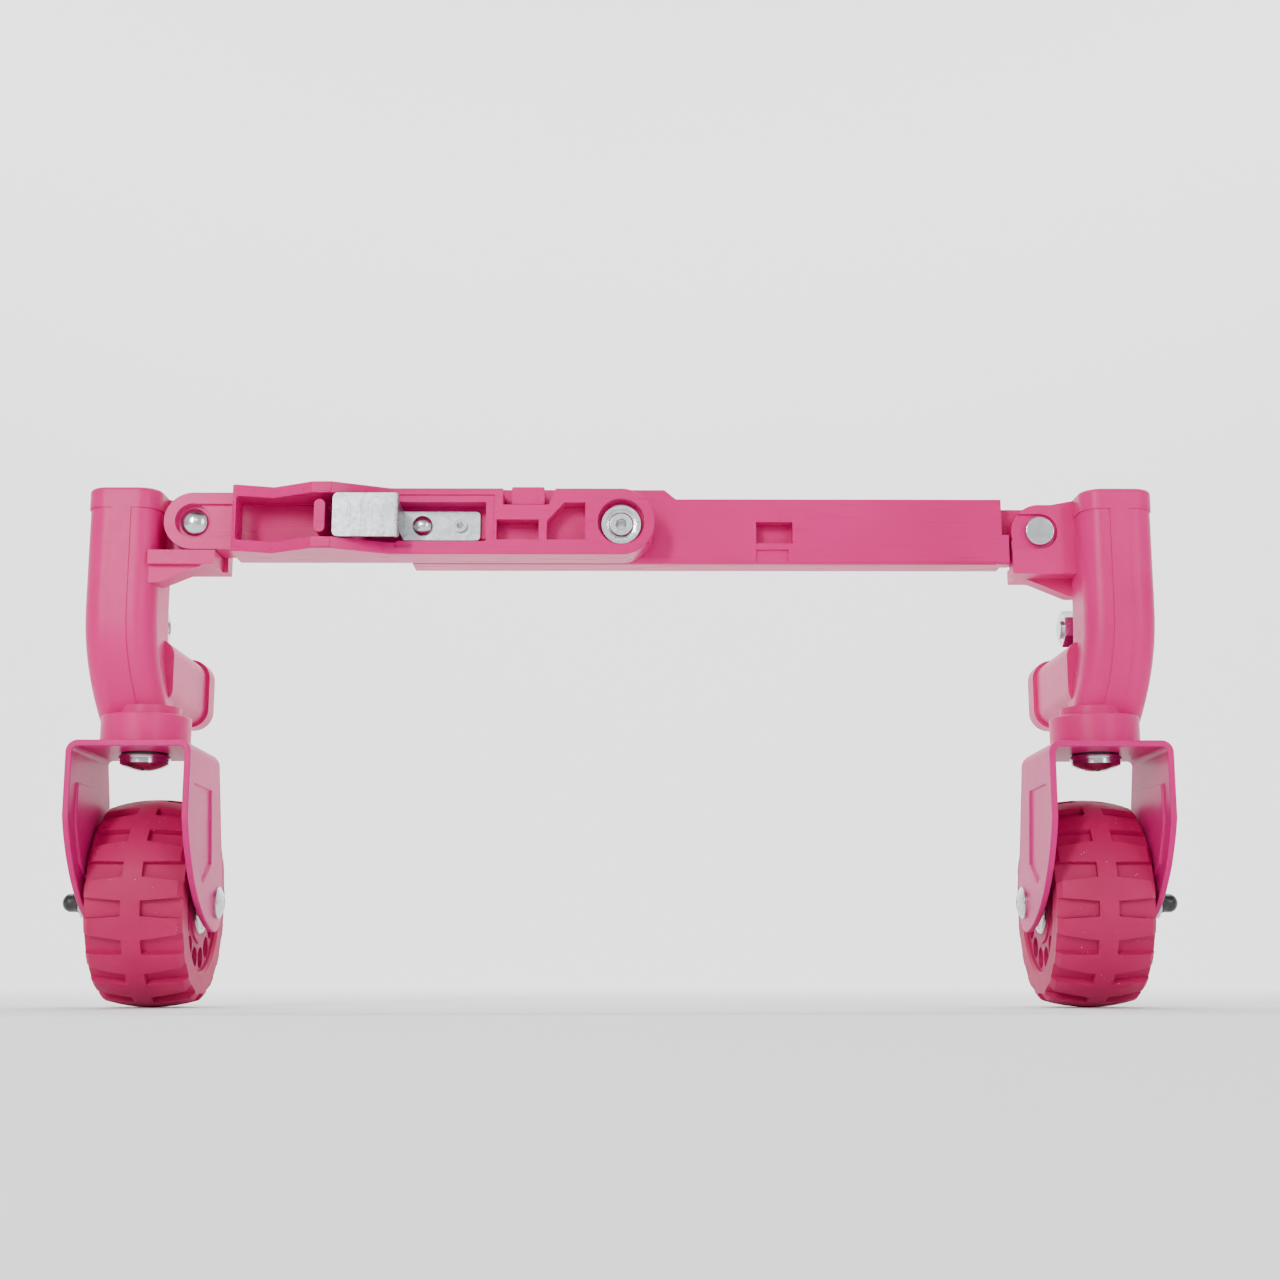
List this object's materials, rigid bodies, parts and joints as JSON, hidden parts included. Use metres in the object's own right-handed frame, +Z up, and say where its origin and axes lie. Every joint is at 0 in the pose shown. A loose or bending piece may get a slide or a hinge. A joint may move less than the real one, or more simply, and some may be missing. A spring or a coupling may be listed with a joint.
{
  "type": "folding caster frame",
  "caption": "Folding front undercarriage frame: moulded corner brackets with tube sockets, a latching hinged crossbar that folds upward, and swivel casters with lugged tyres.",
  "frame": {"origin": "on the floor under the wheels, at the middle of the frame's width and depth", "axes": "+X along the crossbar to the right, +Y away from the front, +Z up"},
  "size_m": [0.544, 0.1168, 0.2488],
  "materials": {
    "bracket_plastic": "satin, fine moulded texture",
    "link_plastic": "satin",
    "fork_coat": "powder coat",
    "tread": "matte",
    "hub_plastic": "satin",
    "zinc_steel": "bright zinc",
    "latch_steel": "galvanised sheet",
    "spring_steel": "drawn wire",
    "bearing_steel": "ground",
    "bush_plastic": "matt",
    "cap_rubber": "satin"
  },
  "bodies": {
    "left_bracket": {"left_bracket": "bracket_plastic", "left_frame_bolt": "zinc_steel", "left_frame_nut": "zinc_steel", "left_king_insert": "zinc_steel", "left_king_bolt": "zinc_steel", "left_king_washer": "zinc_steel", "left_end_rivet": "zinc_steel"},
    "right_bracket": {"right_bracket": "bracket_plastic", "right_frame_bolt": "zinc_steel", "right_frame_nut": "zinc_steel", "right_king_insert": "zinc_steel", "right_king_bolt": "zinc_steel", "right_king_washer": "zinc_steel", "right_end_rivet": "zinc_steel"},
    "left_link": {"left_link": "link_plastic", "centre_rivet": "zinc_steel", "centre_washer": "zinc_steel", "latch_rivet": "zinc_steel", "latch_spring": "spring_steel"},
    "right_link": {"right_link": "link_plastic"},
    "latch": {"latch_plate": "latch_steel", "lock_pin": "zinc_steel"},
    "left_caster": {"left_fork": "fork_coat", "left_swivel_bush": "bush_plastic", "left_thrust_washer": "bush_plastic", "left_axle_bolt": "zinc_steel", "left_axle_washer": "zinc_steel", "left_axle_nut": "zinc_steel", "left_axle_cap": "cap_rubber", "left_axle_spacers": "zinc_steel"},
    "left_wheel": {"left_hub": "hub_plastic", "left_tyre": "tread", "left_inner_bearing": "bearing_steel", "left_outer_bearing": "bearing_steel"},
    "right_caster": {"right_fork": "fork_coat", "right_swivel_bush": "bush_plastic", "right_thrust_washer": "bush_plastic", "right_axle_bolt": "zinc_steel", "right_axle_washer": "zinc_steel", "right_axle_nut": "zinc_steel", "right_axle_cap": "cap_rubber", "right_axle_spacers": "zinc_steel"},
    "right_wheel": {"right_hub": "hub_plastic", "right_tyre": "tread", "right_inner_bearing": "bearing_steel", "right_outer_bearing": "bearing_steel"}
  },
  "joints": [
    {"name": "fold", "type": "hinge", "parent": "left_bracket", "child": "left_link", "pos_m": [-0.204, -0.02115, 0.2282], "axis": [0, -1, 0], "range_deg": [0, 78]},
    {"name": "centre", "type": "hinge", "parent": "left_link", "child": "right_link", "pos_m": [0, -0.02605, 0.2282], "axis": [0, -1, 0], "range_deg": [-156, 0]},
    {"name": "right_end", "type": "hinge", "parent": "right_link", "child": "right_bracket", "pos_m": [0.204, -0.01625, 0.2282], "axis": [0, -1, 0], "range_deg": [0, 78]},
    {"name": "latch", "type": "hinge", "parent": "left_link", "child": "latch", "pos_m": [-0.0957, -0.03465, 0.2282], "axis": [0, 0, -1], "range_deg": [0, 6], "stiffness_Nm_per_rad": 0.4, "springref_deg": -8.59, "deforming": ["latch_spring"]},
    {"name": "left_swivel", "type": "hinge", "parent": "left_bracket", "child": "left_caster", "pos_m": [-0.226, -0.02755, 0.12], "axis": [0, 0, 1], "continuous": true},
    {"name": "left_roll", "type": "hinge", "parent": "left_caster", "child": "left_wheel", "pos_m": [-0.226, 0.00845, 0.05], "axis": [1, 0, 0], "continuous": true},
    {"name": "right_swivel", "type": "hinge", "parent": "right_bracket", "child": "right_caster", "pos_m": [0.226, -0.02755, 0.12], "axis": [0, 0, 1], "continuous": true},
    {"name": "right_roll", "type": "hinge", "parent": "right_caster", "child": "right_wheel", "pos_m": [0.226, 0.00845, 0.05], "axis": [1, 0, 0], "continuous": true}
  ],
  "couplings": [
    {"joint": "centre", "follows": "fold", "ratio": -2},
    {"joint": "right_end", "follows": "fold", "ratio": 1}
  ]
}
